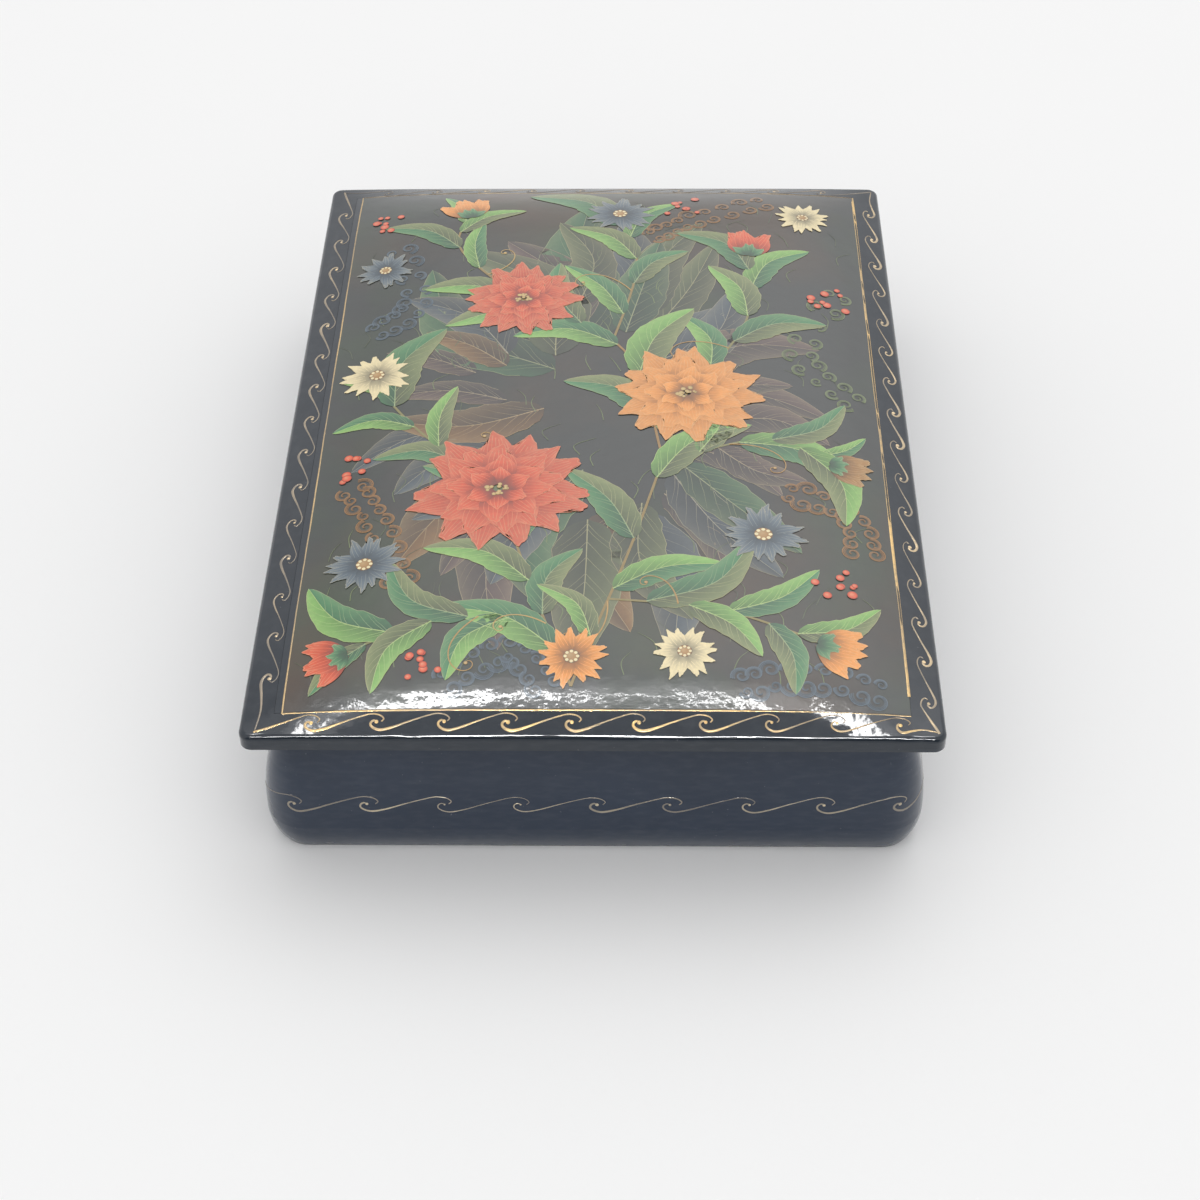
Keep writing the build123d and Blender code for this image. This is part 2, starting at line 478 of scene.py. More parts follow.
# The lid's hollow reaches past the sleeve to the sides and upwards, the red floor just below it
HOLLOW_SIDE = 0.6 * MM
HOLLOW_TOP = 1.1 * MM
FLOOR_SKIN = 0.1 * MM


def dress(node, material):
    """Gives a solid its material."""
    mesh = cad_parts[node].data
    mesh.materials.clear()
    mesh.materials.append(material)


class Lacquer(Operator):
    """Lacquer the box black outside and red inside"""

    bl_idname = "lacquer_box.lacquer"
    bl_label = "Lacquer"

    def execute(self, context):
        palette = colours()
        # The wall's blue black holds in part a painted reflection of bluish surroundings
        plain = lacquer("black_oil_lacquer", palette.wall_black, WALL_UNEVENNESS)
        for node in PLAIN_BLACK:
            dress(node, plain)
        dress("inner_sleeve", lacquer("red_oil_lacquer", palette.red, INSIDE_UNEVENNESS))
        low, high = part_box("inner_sleeve")
        side, top = Vector((HOLLOW_SIDE, HOLLOW_SIDE, 0)), Vector((0, 0, HOLLOW_TOP))
        hollow = (palette.red, low - side, high + side + top)
        dress("lid_plate", lacquer(
            "black_lacquer_red_hollow", palette.lid_black, LID_UNEVENNESS, hollow
        ))
        floor = (palette.red, low - Vector((0, 0, FLOOR_SKIN)), high)
        dress("base_board", lacquer(
            "black_lacquer_red_floor", palette.wall_black, INSIDE_UNEVENNESS, floor
        ))
        dress("hinge_pin", drawn_steel("drawn_steel_wire"))
        return {"FINISHED"}


# Laying paint on the solids

class Canvas:
    """Lays points of a flat drawing on the outside of some solids."""

    def __init__(self, nodes, spot):
        """spot(a, b) gives the ray, as origin and direction, on which a drawn point lies."""
        self.spot = spot
        self.points, self.normals, self.faces = [], [], []
        for node in nodes:
            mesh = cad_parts[node].data
            first = len(self.points)
            self.points += [v.co.copy() for v in mesh.vertices]
            self.normals += [v.normal.copy() for v in mesh.vertices]
            self.faces += [[first + i for i in face.vertices] for face in mesh.polygons]
        self.tree = BVHTree.FromPolygons(self.points, self.faces)

    def place(self, a, b):
        """The point on the surface, and the surface's smooth normal there."""
        origin, direction = self.spot(a, b)
        hit, _, face, _ = self.tree.ray_cast(origin, direction)
        if hit is None:
            raise RuntimeError(f"the drawing leaves the surface at {a:.5f}, {b:.5f}")
        corners = self.faces[face]
        shares = poly_3d_calc([self.points[i] for i in corners], hit)
        normal = sum((self.normals[i] * share for i, share in zip(corners, shares)), Vector())
        return hit, normal.normalized()


# How far outside the wall the rays start
WALL_STAND_OFF = 30 * MM


def lid_canvas():
    """Drawings on the lid, by x and y."""
    above = cad_box[1][2] + LID_ROOM
    down = Vector((0, 0, -1))
    return Canvas(("lid_plate", "picture_sheet"), lambda x, y: (Vector((x, y, above)), down))


def wall_canvas():
    """Drawings on the wall, by the way round it from the front's left end and the height.

    Also gives the length of the way round.
    """
    corner = sizes().wall_corner
    sides = rectangle_sides(*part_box("wall_shell"))
    bend = corner * math.pi / 2
    way_round = sum(side.run - 2 * corner + bend for side in sides)

    def spot(along, height):
        along %= way_round
        for side in sides:
            straight = side.run - 2 * corner
            if along < straight + bend:
                break
            along -= straight + bend
        turn = max(0, along - straight) / corner
        outward = side.along * math.sin(turn) - side.inward * math.cos(turn)
        origin = side.point(corner + min(along, straight), corner) + outward * (corner + WALL_STAND_OFF)
        return Vector((*origin, height)), Vector((*-outward, 0))

    return Canvas(("wall_shell",), spot), way_round


class Side:
    """One side of a rectangle that is gone round counter-clockwise, seen from above."""

    def __init__(self, name, start, along, inward, run):
        self.name = name
        self.start = Vector(start)
        self.along = Vector(along)
        self.inward = Vector(inward)
        self.run = run

    def point(self, along, inward):
        """Plan position from the distance along the side and in from it."""
        return self.start + self.along * along + self.inward * inward


def rectangle_sides(low, high):
    """The four sides of a rectangle with these corners."""
    width, depth = high[0] - low[0], high[1] - low[1]
    return (
        Side("front", (low[0], low[1]), (1, 0), (0, 1), width),
        Side("right", (high[0], low[1]), (0, 1), (-1, 0), depth),
        Side("back", (high[0], high[1]), (-1, 0), (0, -1), width),
        Side("left", (low[0], high[1]), (0, -1), (1, 0), depth),
    )


class Paint:
    """Collects strokes on one canvas and turns them into one mesh."""

    def __init__(self, canvas):
        self.canvas = canvas
        self.points, self.normals, self.pigments, self.faces = [], [], [], []

    def grid(self, rows):
        """Adds a strip of paint; each row holds (a, b, lift, pigment) from right to left."""
        columns = len(rows[0])
        first = len(self.points)
        for row in rows:
            for a, b, lift, pigment in row:
                point, normal = self.canvas.place(a, b)
                self.points.append(point + normal * lift)
                self.normals.append(normal)
                self.pigments.append(pigment)
        for i in range(len(rows) - 1):
            for j in range(columns - 1):
                k = first + i * columns + j
                self.faces.append((k, k + columns, k + columns + 1, k + 1))

    def make(self, name, material, body, slot, flush):
        """Builds the mesh; flush paint is shaded like the surface below it."""
        mesh = bpy.data.meshes.new(name)
        mesh.from_pydata(self.points, [], self.faces)
        layer = mesh.color_attributes.new("pigment", "FLOAT_COLOR", "POINT")
        layer.data.foreach_set("color", [c for p in self.pigments for c in (*p, 1)])
        mesh.polygons.foreach_set("use_smooth", [True] * len(mesh.polygons))
        if flush:
            mesh.normals_split_custom_set_from_vertices(self.normals)
        mesh.materials.append(material)
        piece = bpy.data.objects.new(name, mesh)
        bpy.context.scene.collection.objects.link(piece)
        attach(piece, body)


def smooth_line(points, per_span):
    """Points on a Catmull-Rom curve through the given ones, all their numbers carried along."""
    padded = [points[0], *points, points[-1]]
    line = []
    for spans in zip(padded, padded[1:], padded[2:], padded[3:]):
        for step in range(per_span):
            t = step / per_span
            line.append(tuple(
                0.5 * (
                    2 * b + (c - a) * t + (2 * a - 5 * b + 4 * c - d) * t * t
                    + (3 * b - a - 3 * c + d) * t ** 3
                )
                for a, b, c, d in zip(*spans)
            ))
    line.append(tuple(points[-1]))
    return line


# Cross-sections of a stroke: shares of the half width and of the relief
ROUND_STROKE = ((-1, 0), (-0.7, 0.7), (0, 1), (0.7, 0.7), (1, 0))
FLAT_STROKE = ((-1, 1), (0, 1), (1, 1))


def brush(paint, line, lift, relief=0, section=FLAT_STROKE):
    """Adds one brush stroke along line, whose points are (a, b, half width, pigment)."""
    rows = []
    for i, (a, b, half, pigment) in enumerate(line):
        before, after = line[max(i - 1, 0)], line[min(i + 1, len(line) - 1)]
        along = Vector((after[0] - before[0], after[1] - before[1])).normalized()
        rows.append([
            (a - along.y * half * c, b + along.x * half * c, lift + relief * h, pigment)
            for c, h in section
        ])
    paint.grid(rows)


DOT_CORNERS = 14
# Rings of a dot, from its rim to its light spot: shares of the radius and of the relief
DOT_RINGS = ((1.0, 0), (0.8, 0.6), (0.4, 0.9), (0.02, 1))
DOT_SHIFT = 0.25


def dot(paint, place, radius, tones, lift, relief):
    """Adds a round touch of paint: dark rim, body and a light spot towards the upper left."""
    dark, body, light = tones
    rows = []
    for (share, height), tone in zip(DOT_RINGS, (dark, body, mix(body, light, 0.5), light)):
        shift = DOT_SHIFT * radius * (1 - share)
        rows.append([
            (place[0] - shift + radius * share * math.cos(math.tau * k / DOT_CORNERS),
             place[1] + shift + radius * share * math.sin(math.tau * k / DOT_CORNERS),
             lift + relief * height, tone)
            for k in range(DOT_CORNERS, -1, -1)
        ])
    paint.grid(rows)


# Gold ornament

# One running wave: along and across as shares of the pitch and the band, brush load from 0 to 1
WAVE_CURL = ((0.05, 0.5, 0.6), (0.0, 0.58, 0.75), (-0.045, 0.45, 0.85), (-0.04, 0.24, 0.9))
WAVE_RUN = (
    (0.03, 0.05, 0.95), (0.13, 0.0, 1.0), (0.3, 0.17, 0.85),
    (0.53, 0.5, 0.6), (0.8, 0.85, 0.5), (0.96, 1.0, 0.5),
)
WAVE_HOOK = ((1.09, 0.92, 0.5), (1.155, 0.7, 0.5), (1.12, 0.52, 0.45))
# The wave that springs from a mitred corner, and the one that runs into the next corner
WAVE_FIRST = ((0.0, 0.0, 0.9), (0.16, 0.15, 1.0), (0.4, 0.42, 0.85), (0.65, 0.7, 0.6), (0.94, 1.0, 0.5))
WAVE_LAST = (
    (0.03, 0.05, 0.95), (0.13, 0.0, 1.0), (0.35, 0.14, 0.8), (0.65, 0.24, 0.6), (1.0, 0.04, 0.5),
)
WAVE_STEPS = 5
# How far the hand strays: a share of the pitch, and shares of the band at the foot and the crest
STRAY_ALONG = (-0.03, 0.03)
STRAY_FOOT = (-0.04, 0.04)
STRAY_CREST = (-0.08, 0.02)
# How much the gold fades where the brush runs dry, how often along a wave, and the shift per wave
WAVE_DRY = 0.35
DRY_ALONG = 9
DRY_SHIFT = 2.1
# How quickly the gold covers the black as the brush's load grows
WAVE_COVER = 1.25
# The share of the width at a stroke's ends
WAVE_TIP = 0.4
# The bead in the curl: its place, its radius as a share of the width, its gain in light and height
BEAD_PLACE = (0.04, 0.5)
BEAD_RADIUS = 0.7
BEAD_GAIN = 0.4
BEAD_RELIEF = 1.4


def wave_band(paint, rng, run, pitch, low, high, gold, relief, brightness, fullness, mitre, to_canvas):
    """Paints a row of waves of about this pitch over a run, from its start to its end.

    Each wave curls out from a bead and hooks over the next one. mitre is (first, last): the shares
    of the pitch that the first and last wave have in a band that is mitred at the corners, else None.
    brightness and fullness are ranges, from which each wave gets its own.
    """
    lead, tail = mitre or (1, 1)
    count = round(run / pitch + 2 - lead - tail)
    pitch = run / (count - 2 + lead + tail)
    thin = colours().thin_gold
    width = sizes().stroke_width
    for k in range(count):
        first, last = mitre and k == 0, mitre and k == count - 1
        start = 0 if first else (k - 1 + lead + rng.uniform(*STRAY_ALONG)) * pitch
        foot = low + (high - low) * rng.uniform(*STRAY_FOOT)
        crest = high + (high - low) * rng.uniform(*STRAY_CREST)
        full = rng.uniform(*fullness)
        bright = rng.uniform(*brightness)
        stretch, shape = 1, WAVE_CURL + WAVE_RUN + WAVE_HOOK
        if first:
            stretch, shape = lead, WAVE_FIRST + WAVE_HOOK
        elif last:
            stretch, shape = tail, WAVE_CURL + WAVE_LAST
        line = []
        for along, across, load in smooth_line(shape, WAVE_STEPS):
            way = min(along, 1) * stretch + max(along - 1, 0)
            a, b = to_canvas(start + way * pitch, foot + (crest - foot) * across)
            wet = 1 - WAVE_DRY * max(0, math.sin(DRY_ALONG * along + DRY_SHIFT * k))
            pigment = mix(thin, gold, bright * wet * min(1, WAVE_COVER * load))
            line.append((a, b, width / 2 * load * full, pigment))
        for end in (0, -1):
            a, b, half, pigment = line[end]
            line[end] = (a, b, half * WAVE_TIP, pigment)
        brush(paint, line, 0, relief, ROUND_STROKE)
        if not first:
            along, across = BEAD_PLACE
            place = to_canvas(start + along * stretch * pitch, foot + (crest - foot) * across)
            bead = mix(thin, gold, min(1, bright + BEAD_GAIN))
            dot(paint, place, width * BEAD_RADIUS * full, (bead, bead, bead), 0, relief * BEAD_RELIEF)


# How bright the gold is on each side, and the shares of the pitch that the first and last wave have
LID_BRIGHTNESS = {"front": (0.45, 1.0), "right": (0.35, 0.8), "back": (0.0, 0.35), "left": (0.1, 0.42)}
LID_MITRE = {"front": (0.85, 0.6), "right": (0.65, 1.0), "back": (1.0, 1.0), "left": (1.0, 1.2)}
LID_FULLNESS = (0.6, 1.05)
WALL_BRIGHTNESS = (0.0, 1.0)
WALL_FULLNESS = (0.45, 0.95)
# The way round the wall from the front's left end to the first bead
WALL_FIRST = -1.6 * MM
# Relief of the wall's waves and of the frame line, as a share of the lid's waves
THIN_RELIEF = 0.6


class LidWaves(Operator):
    """Paint the gold running wave on the border of the lid"""

    bl_idname = "lacquer_box.lid_waves"
    bl_label = "Lid Waves"

    def execute(self, context):
        s = sizes()
        canvas = lid_canvas()
        material = gold_paint("bronze_powder_gold_lid")
        for i, side in enumerate(rectangle_sides(*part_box("lid_plate"))):
            first, last = s.lid_band_low[i - 1], s.lid_band_low[(i + 1) % 4]
            # The other sides get the paler gold, in part painted sheen of white glare
            gold = colours().lid_gold if side.name == "front" else colours().pale_gold
            paint = Paint(canvas)
            wave_band(
                paint, random.Random(f"{s.seed} lid {side.name}"), side.run - first - last,
                s.lid_pitch[i], s.lid_band_low[i], s.lid_band_high[i], gold, s.stroke_relief,
                LID_BRIGHTNESS[side.name], LID_FULLNESS, LID_MITRE[side.name],
                lambda along, inward: side.point(first + along, inward),
            )
            paint.make(f"lid_wave_{side.name}", material, "lid", "gold_paint", flush=False)
        return {"FINISHED"}


class WallWaves(Operator):
    """Paint the thinner gold wave round the wall"""

    bl_idname = "lacquer_box.wall_waves"
    bl_label = "Wall Waves"

    def execute(self, context):
        s = sizes()
        canvas, way_round = wall_canvas()
        paint = Paint(canvas)
        wave_band(
            paint, random.Random(f"{s.seed} wall"), way_round, s.wall_pitch, s.wall_band_low,
            s.wall_band_high, colours().wall_gold, s.stroke_relief * THIN_RELIEF, WALL_BRIGHTNESS,
            WALL_FULLNESS, None, lambda along, height: (WALL_FIRST + along, height),
        )
        paint.make("wall_wave", gold_paint("bronze_powder_gold_wall"), "box", "gold_paint", flush=False)
        return {"FINISHED"}


FRAME_BRIGHT = {"front": 0.85, "right": 0.95, "back": 0.5, "left": 0.65}
FRAME_STEPS = 90
# The line's drift at each step, in millimetres, and the share of it that stays
FRAME_DRIFT = 0.02
FRAME_STEADY = 0.9
# The brush's load: its mean and its swing, with the swing's turn at each step and each side
FRAME_LOAD = 0.8
FRAME_SWING = 0.2
SWING_STEP = 0.21
SWING_SIDE = 9


class FrameLine(Operator):
    """Draw the gold line round the picture"""

    bl_idname = "lacquer_box.frame_line"
    bl_label = "Frame Line"

    def execute(self, context):
        s = sizes()
        paint = Paint(lid_canvas())
        rng = random.Random(f"{s.seed} frame")
        palette = colours()
        for i, side in enumerate(rectangle_sides(*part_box("lid_plate"))):
            first = s.frame_inset[i - 1] + (s.frame_stop if side.name == "right" else 0)
            last = side.run - s.frame_inset[(i + 1) % 4]
            line = []
            drift = 0.0
            for k in range(FRAME_STEPS + 1):
                drift = FRAME_STEADY * drift + rng.uniform(-FRAME_DRIFT, FRAME_DRIFT) * MM
                load = FRAME_LOAD + FRAME_SWING * math.sin(SWING_STEP * k + SWING_SIDE * i)
                a, b = side.point(first + (last - first) * k / FRAME_STEPS, s.frame_inset[i] + drift)
                pigment = mix(palette.thin_gold, palette.lid_gold, FRAME_BRIGHT[side.name] * load)
                line.append((a, b, s.frame_width[i] / 2 * (0.7 + 0.4 * load), pigment))
            brush(paint, line, 0, s.stroke_relief * THIN_RELIEF, ROUND_STROKE)
        paint.make("frame_line", gold_paint("bronze_powder_gold_line"), "lid", "gold_paint", flush=False)
        return {"FINISHED"}


# Picture: a bouquet of flowers

# Shares in a pigment's tones: black and then ground in the dark one, cream in the light one
SHADE_BLACK = 0.5
SHADE_GROUND = 0.5
SHADE_CREAM = 0.3


def shades(body):
    """Dark, middle and light tone of a pigment; the dark one sinks into the ground."""
    palette = colours()
    return (
        mix(mix(body, BLACK, SHADE_BLACK), palette.ground, SHADE_GROUND),
        tuple(body),
        mix(body, palette.cream, SHADE_CREAM),
    )


def ease(share):
    """Smooth step from 0 to 1."""
    share = min(1, max(0, share))
    return share * share * (3 - 2 * share)


def pointing(angle):
    """Unit vector in this direction."""
    return Vector((math.cos(angle), math.sin(angle)))


def heading_of(start, end):
    """Direction of the way from one point of a line to another."""
    way = Vector(end[:2]) - Vector(start[:2])
    return math.atan2(way.y, way.x)


def picture_layer(paint, name):
    """Turns strokes into one varnished layer of the picture."""
    material = varnished_tempera("tempera_" + name, painted_pigment)
    paint.make("picture_" + name, material, "lid", "picture", flush=True)


PETAL_ROWS = 9
PETAL_COLUMNS = (-1, -0.6, -0.2, 0.2, 0.6, 1)
PETAL_CURL = 0.16
# Hatching of a petal: points of a line, and where it starts and ends as shares of the reach
HATCH_STEPS = 5
HATCH_START = (0.3, 0.5)
HATCH_END = (0.8, 0.96)
# The line along the rim: points, place as a share of the reach, half width in millimetres
RIM_STEPS = 8
RIM_PLACE = 0.98
RIM_HALF = 0.05


def petal(paint, rng, root, heading, reach, half_width, tones, lift, hatching):
    """One petal from root outwards: dark at the root, light at the ragged rim, finely hatched."""
    dark, body, light = tones
    above = lift + sizes().paint_layer
    curl = rng.uniform(-PETAL_CURL, PETAL_CURL)
    ripple = rng.uniform(0, math.tau)
    ahead = pointing(heading)
    left = Vector((-ahead.y, ahead.x))

    def at(f, c):
        """Plan position from the shares of the reach and of the half width."""
        swell = half_width * math.sin(math.pi * (0.10 + 0.78 * f ** 0.9))
        out = reach * f * (1 - 0.16 * c * c * f * f + 0.035 * f * math.sin(5 * c + ripple))
        return root + ahead * out + left * (swell * c + curl * reach * f * f)

    rows = []
    for i in range(PETAL_ROWS + 1):
        f = i / PETAL_ROWS
        row = []
        for c in PETAL_COLUMNS:
            tone = mix(dark, body, ease(1.25 * f - 0.12 * abs(c)))
            tone = mix(tone, light, 0.6 * ease(f) ** 3 * (0.3 + 0.7 * abs(c)))
            row.append((*at(f, c), lift, tone))
        rows.append(row)
    paint.grid(rows)
    for k in range(hatching):
        c = -0.85 + 1.7 * (k + 0.5) / hatching
        start, end = rng.uniform(*HATCH_START), rng.uniform(*HATCH_END)
        line = []
        for t in range(HATCH_STEPS + 1):
            place = at(start + (end - start) * t / HATCH_STEPS, c)
            line.append((*place, (0.03 + 0.006 * t) * MM, mix(body, light, 0.3 + 0.12 * t)))
        brush(paint, line, above)
    rim = [
        (*at(RIM_PLACE, c / RIM_STEPS), RIM_HALF * MM, light) for c in range(-RIM_STEPS, RIM_STEPS + 1)
    ]
    brush(paint, rim, above)


# Rings of a peony, from the outside in: petals, their reach and half width as shares of the radius
PEONY_RINGS = ((14, 1.0, 0.26), (11, 0.78, 0.24), (8, 0.56, 0.2), (6, 0.34, 0.14))
# Where its petals spring, and its heart's reach, as shares of the radius
PEONY_ROOT = 0.06
PEONY_HEART = 0.13
# Dots in its heart, and their radius in millimetres
PEONY_DOTS = 14
PEONY_DOT = (0.25, 0.45)


def peony(paint, rng, place, radius, body, lift):
    """A full flower of four rings of petals round a heart of gold dots."""
    layer = sizes().paint_layer
    for ring, (count, reach, width) in enumerate(PEONY_RINGS):
        tones = shades(mix(body, colours().ground, 0.06 * (3 - ring)))
        for k in range(count):
            heading = math.tau * (k + 0.5 * ring + rng.uniform(-0.12, 0.12)) / count
            petal(
                paint, rng, place + pointing(heading) * radius * PEONY_ROOT, heading,
                radius * reach * rng.uniform(0.9, 1.05), radius * width, tones,
                lift + layer * (4 * ring + 1.2 * (k % 3)), 8 - ring,
            )
    gold = shades(colours().line_gold)
    for k in range(PEONY_DOTS):
        turn = rng.uniform(0, math.tau)
        spot = place + pointing(turn) * radius * PEONY_HEART * math.sqrt(rng.random())
        dot(paint, spot, rng.uniform(*PEONY_DOT) * MM, gold, lift + layer * (17 + 0.2 * k), layer)


DAISY_PETALS = 15
DAISY_DOTS = 8
# Half width of a petal, the heart, the ring of dots in it and one dot, as shares of the radius
DAISY_HALF = 0.17
DAISY_HEART = 0.22
DAISY_RING = 0.16
DAISY_DOT = 0.05


def daisy(paint, rng, place, radius, body, lift):
    """A small open flower with narrow petals."""
    layer = sizes().paint_layer
    for k in range(DAISY_PETALS):
        heading = math.tau * (k + rng.uniform(-0.15, 0.15)) / DAISY_PETALS
        petal(
            paint, rng, place, heading, radius * rng.uniform(0.85, 1.05), radius * DAISY_HALF,
            shades(body), lift + layer * 1.2 * (k % 3), 3,
        )
    dot(paint, place, radius * DAISY_HEART, shades(colours().clay), lift + 5 * layer, layer)
    for k in range(DAISY_DOTS):
        spot = place + pointing(math.tau * k / DAISY_DOTS) * radius * DAISY_RING
        dot(paint, spot, radius * DAISY_DOT, shades(colours().cream), lift + 7 * layer, layer)


# Turns of a bud's petals and of the leaves of its cup, in radians
BUD_PETALS = (-0.6, 0.6, -0.3, 0.3, 0.0)
BUD_CUP = (-0.9, 0.9, -0.3, 0.3)
# Half width of a petal, and reach and half width of the cup's leaves, as shares of the radius
BUD_HALF = 0.26
CUP_REACH = 0.45
CUP_HALF = 0.13


def bud(paint, rng, place, heading, radius, body, lift):
    """A half-open bud: petals in a green cup."""
    layer = sizes().paint_layer
    for k, turn in enumerate(BUD_PETALS):
        petal(
            paint, rng, place, heading + turn, radius, radius * BUD_HALF, shades(body),
            lift + layer * 1.2 * k, 5,
        )
    for k, turn in enumerate(BUD_CUP):
        petal(
            paint, rng, place, heading + turn, radius * CUP_REACH, radius * CUP_HALF,
            shades(colours().emerald), lift + layer * (7 + k), 2,
        )


LEAF_ROWS = 20
LEAF_COLUMNS = (-1, -0.55, -0.04, 0.04, 0.55, 1)
LEAF_TEETH = (5, 8)
LEAF_VEINS = 8
# Points of a vein, and how far out it goes at each, as a share of the half width
VEIN_STEPS = 5
VEIN_SPREAD = 0.22
# The line along a leaf's edge: first row, share of the half width, half width in millimetres
EDGE_FIRST = 3
EDGE_PLACE = 0.98
EDGE_HALF = 0.04


def leaf(paint, rng, root, tip, bow, half_width, near_tones, far_tones, lift):
    """A leaf with a light and a dark half, toothed edges and fine veins."""
    root, tip = Vector(root), Vector(tip)
    layer = sizes().paint_layer
    left = Vector((root.y - tip.y, tip.x - root.x))
    spine = smooth_line([tuple(root), tuple((root + tip) / 2 + left * bow), tuple(tip)], LEAF_ROWS // 2)
    teeth = rng.randint(*LEAF_TEETH)

    def at(i, c):
        """Plan position from the row and the share of the half width."""
        before, after = spine[max(i - 1, 0)], spine[min(i + 1, LEAF_ROWS)]
        ahead = Vector((after[0] - before[0], after[1] - before[1])).normalized()
        f = i / LEAF_ROWS
        tooth = 1 + 0.2 * ((f * teeth) % 1 - 0.5) * (1 - f) * min(1, 8 * f)
        swell = half_width * math.sin(math.pi * f ** 0.75) ** 0.9 * tooth * c
        return Vector(spine[i]) + Vector((-ahead.y, ahead.x)) * swell

    rows = []
    for i in range(LEAF_ROWS + 1):
        f = i / LEAF_ROWS
        row = []
        for c in LEAF_COLUMNS:
            dark, body, light = near_tones if c > 0 else far_tones
            tone = mix(dark, body, ease(0.1 + 0.8 * f + 0.3 * abs(c)))
            tone = mix(tone, light, 0.35 * abs(c) ** 2 * ease(f * 1.3))
            row.append((*at(i, c), lift, tone))
        rows.append(row)
    paint.grid(rows)
    rib = [(*at(i, 0), (0.1 - 0.07 * i / LEAF_ROWS) * MM, near_tones[2]) for i in range(LEAF_ROWS + 1)]
    brush(paint, rib, lift + layer)
    halves = ((-1, far_tones), (1, near_tones))
    for k in range(LEAF_VEINS):
        i = 1 + int((LEAF_ROWS - 1 - VEIN_STEPS) * k / LEAF_VEINS)
        for hand, tones in halves:
            pigment = mix(tones[1], tones[2], 0.6)
            vein = [
                (*at(i + step, hand * VEIN_SPREAD * step), (0.05 - 0.008 * step) * MM, pigment)
                for step in range(VEIN_STEPS)
            ]
            brush(paint, vein, lift + 1.3 * layer)
    for hand, tones in halves:
        edge = [
            (*at(i, hand * EDGE_PLACE), EDGE_HALF * MM, tones[2]) for i in range(EDGE_FIRST, LEAF_ROWS)
        ]
        brush(paint, edge, lift + 1.6 * layer)


SCROLL_STEPS = 24
SCROLL_TURNS = 1.4


def scroll(paint, place, heading, radius, hand, pigment, lift):
    """A small line that winds up, as in painted clouds and water."""
    line = []
    for i in range(SCROLL_STEPS + 1):
        f = i / SCROLL_STEPS
        turn = heading + hand * math.tau * SCROLL_TURNS * f
        spot = place + pointing(turn) * radius * (1 - 0.85 * f)
        line.append((*spot, (0.1 - 0.06 * f) * MM, pigment))
    brush(paint, line, lift)


TENDRIL_STEPS = 36
TENDRIL_TURNS = 1.1
TENDRIL_DOT = 0.3


def tendril(paint, rng, root, heading, reach, pigment, lift):
    """A thin line that runs out and curls up at its end."""
    layer = sizes().paint_layer
    hand = rng.choice((-1, 1))
    place, direction = Vector(root), heading
    line = []
    for i in range(TENDRIL_STEPS + 1):
        f = i / TENDRIL_STEPS
        line.append((*place, (0.11 - 0.06 * f) * MM, pigment))
        direction += hand * math.tau * TENDRIL_TURNS / TENDRIL_STEPS * (0.25 + 2.2 * f * f)
        place = place + pointing(direction) * reach / TENDRIL_STEPS * (1.5 - 1.2 * f)
    brush(paint, line, lift)
    dot(paint, place, TENDRIL_DOT * MM, shades(pigment), lift + layer, layer)


# Bouquet, in millimetres from the middle of the picture
STEMS = (
    ((-3, -60), (-9, -42), (-15, -20)), ((-3, -60), (5, -34), (14, 3)), ((10, -12), (4, 14), (-13, 28)),
    ((14, 3), (24, 22), (25, 42)), ((-8, 22), (-24, 42), (-23, 54)), ((2, -44), (18, -46), (33, -52)),
    ((-7, -48), (-22, -48), (-36, -54)), ((10, -14), (26, -8), (37, -13)),
    ((-15, -20), (-28, -6), (-37, 8)), ((2, 16), (6, 38), (2, 54)),
)
STEM_HALF = 0.2
STEM_STEPS = 12
# Points of a stem's line at which leaves grow, each with its hand, and the tendril's point
LEAF_PLACES = ((5, 1), (9, -1), (13, 1), (17, -1), (20, 1))
TENDRIL_PLACE = 8
TENDRIL_LENGTH = (12, 18)
# Leaves: length, turn away from the stem in radians, bow and half width as shares of the length
LEAF_LENGTH = (13, 21)
LEAF_TURN = (0.6, 1.0)
LEAF_BOW = (0.08, 0.2)
LEAF_HALF = (0.14, 0.19)
LEAF_PAIRS = (("mint", "emerald"), ("emerald", "olive"), ("mint", "olive"))
# How far from the middle leaves may reach, across and along
BOUQUET_REACH = (42, 61)
# Flowers: place, heading of a bud in degrees, radius, pigment
PEONIES = ((-15, -20, 13, "coral"), (14, 3, 11.5, "orange"), (-13, 28, 9.5, "coral"))
DAISIES = (
    (25, -30, 6.5, "slate"), (-34, -36, 6, "slate"), (-36, 9, 6, "cream"), (3, 54, 6, "slate"),
    (35, 54, 5, "cream"), (-37, 38, 5, "slate"), (13, -54, 5, "cream"), (-3, -55, 5.5, "orange"),
)
BUDS = (
    (25, 41, 85, 7.5, "coral"), (-23, 53, 105, 7, "orange"), (32, -52, 345, 7, "orange"),
    (-35, -54, 195, 6.5, "coral"), (36, -13, 350, 6.5, "clay"),
)
BERRIES = ((-24, -56), (35, -40), (-38, -14), (14, 57), (-38, 52), (38, 30))
BERRIES_IN_BUNCH = 9
BERRY_RADIUS = (0.45, 0.8)
BUNCH_REACH = 3
# Bands of scrolls: start, middle and end
CLOUDS = (
    ((-38, -18, "clay"), (-33, -27), (-28, -42)), ((42, 2, "olive"), (33, 14), (41, 34)),
    ((-38, 20, "slate"), (-31, 28), (-36, 46)), ((20, -60, "slate"), (30, -58), (42, -60)),
    ((8, 46, "clay"), (16, 52), (30, 60)), ((28, -20, "clay"), (38, -24), (40, -34)),
    ((-22, -60, "slate"), (-12, -54), (-6, -61)),
)
CLOUD_STEPS = 5
SCROLL_RADIUS = (1.1, 1.9)
# Share of the ground in each line of a scroll, and each line's twist and shrinking in its place
SCROLL_SHARES = (0.2, 0.4, 0.6)
SCROLL_TWIST = 0.12
SCROLL_SHRINK = 0.14
